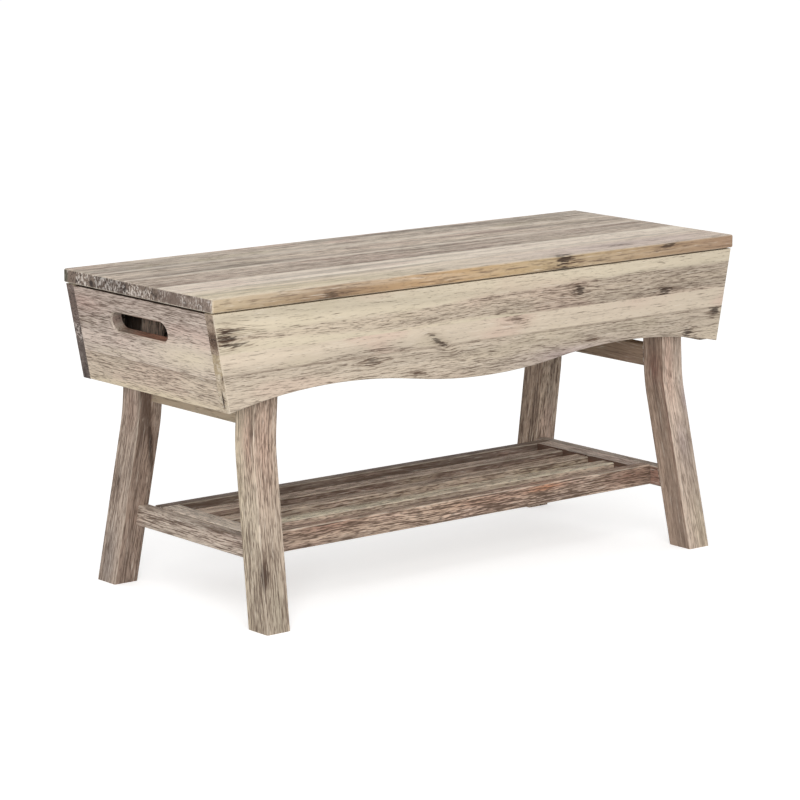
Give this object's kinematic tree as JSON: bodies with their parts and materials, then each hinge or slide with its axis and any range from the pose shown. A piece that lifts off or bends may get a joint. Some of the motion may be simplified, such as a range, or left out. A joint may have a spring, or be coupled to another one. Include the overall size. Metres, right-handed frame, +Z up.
{
  "type": "storage bench",
  "caption": "Low whitewashed wood bench with a lift-up lid over a trough box with a scalloped lower edge and hand holes, on splayed legs with a slatted shelf.",
  "frame": {"origin": "on the floor, at the middle of the rectangle that the four feet stand on", "axes": "+X along the length to the right end, +Y to the back where the hinges are, +Z up"},
  "size_m": [0.9144, 0.3874, 0.4394],
  "materials": {
    "lid_wood": "whitewashed acacia, matt, dry grain",
    "box_wood": "whitewashed acacia, matt, dry grain",
    "leg_wood": "weathered taupe acacia, matt",
    "shelf_wood": "weathered brown-grey acacia, matt",
    "batten_wood": "plain sawn wood, matt",
    "floor_wood": "plain board, matt",
    "dowel_wood": "raw hardwood",
    "hinge_steel": "aged steel, satin",
    "screw_steel": "zinc-plated steel",
    "bumper_rubber": "soft black rubber"
  },
  "bodies": {
    "bench": {"back_board_lower": "box_wood", "back_board_middle": "box_wood", "back_board_upper": "box_wood", "corner_dowels": "dowel_wood", "floor_panel": "floor_wood", "front_board_lower": "box_wood", "front_board_middle": "box_wood", "front_board_upper": "box_wood", "hinge_bench_leaf_left": "hinge_steel", "hinge_bench_leaf_right": "hinge_steel", "hinge_pin_left": "hinge_steel", "hinge_pin_right": "hinge_steel", "hinge_screws_bench": "screw_steel", "ledger_back": "batten_wood", "ledger_front": "batten_wood", "ledger_screws": "screw_steel", "left_end_board_lower": "box_wood", "left_end_board_upper": "box_wood", "leg_back_left": "leg_wood", "leg_back_right": "leg_wood", "leg_front_left": "leg_wood", "leg_front_right": "leg_wood", "leg_screws": "screw_steel", "lid_bumpers": "bumper_rubber", "right_end_board_lower": "box_wood", "right_end_board_upper": "box_wood", "shelf_dowels": "dowel_wood", "shelf_end_rail_left": "shelf_wood", "shelf_end_rail_right": "shelf_wood", "shelf_rail_back": "shelf_wood", "shelf_rail_front": "shelf_wood", "shelf_slat_1": "shelf_wood", "shelf_slat_2": "shelf_wood", "shelf_slat_3": "shelf_wood", "stretcher_left": "shelf_wood", "stretcher_right": "shelf_wood", "upper_rail_left": "leg_wood", "upper_rail_right": "leg_wood"},
    "lid": {"batten_screws": "screw_steel", "hinge_lid_leaf_left": "hinge_steel", "hinge_lid_leaf_right": "hinge_steel", "hinge_screws_lid": "screw_steel", "lid_batten_left": "batten_wood", "lid_batten_right": "batten_wood", "lid_board_1": "lid_wood", "lid_board_2": "lid_wood", "lid_board_3": "lid_wood", "lid_board_4": "lid_wood", "lid_board_5": "lid_wood"}
  },
  "joints": [
    {"name": "lid_hinge", "type": "hinge", "parent": "bench", "child": "lid", "pos_m": [0, 0.1713, 0.4204], "axis": [-1, 0, 0], "range_deg": [0, 95]}
  ]
}
